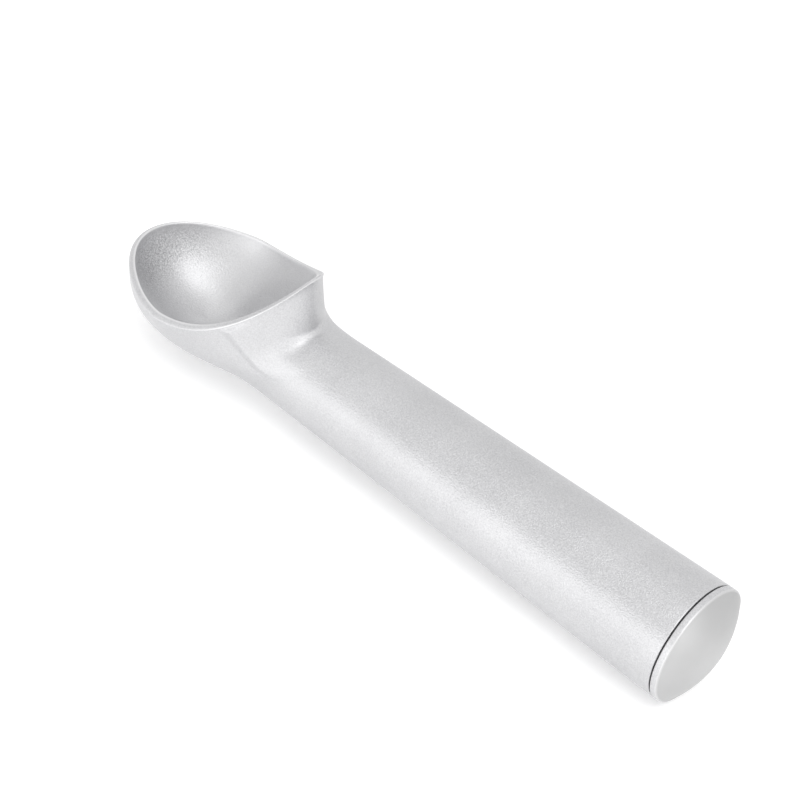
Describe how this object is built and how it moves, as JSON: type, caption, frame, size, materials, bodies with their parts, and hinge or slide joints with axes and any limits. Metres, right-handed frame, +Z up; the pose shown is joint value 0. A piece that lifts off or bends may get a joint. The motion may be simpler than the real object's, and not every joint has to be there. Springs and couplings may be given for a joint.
{
  "type": "ice cream scoop",
  "caption": "Solid-bowl ice cream scoop: a teardrop bowl cast in one with a round, tapered hollow handle, closed by a domed end cap over a thin gasket.",
  "frame": {"origin": "centre of the bounding box in plan, at its lowest point, under the handle's cap end", "axes": "+X along the handle axis towards the end cap, +Z up out of the bowl's mouth, +Y across the bowl"},
  "size_m": [0.18, 0.04, 0.0465],
  "materials": {
    "cast_aluminium": "satin",
    "cap_aluminium": "satin",
    "gasket_rubber": "matte",
    "handle_fluid": "gloss"
  },
  "bodies": {
    "root": {"scoop_body": "cast_aluminium", "end_cap": "cap_aluminium", "cap_gasket": "gasket_rubber", "heat_fluid": "handle_fluid"}
  },
  "joints": []
}
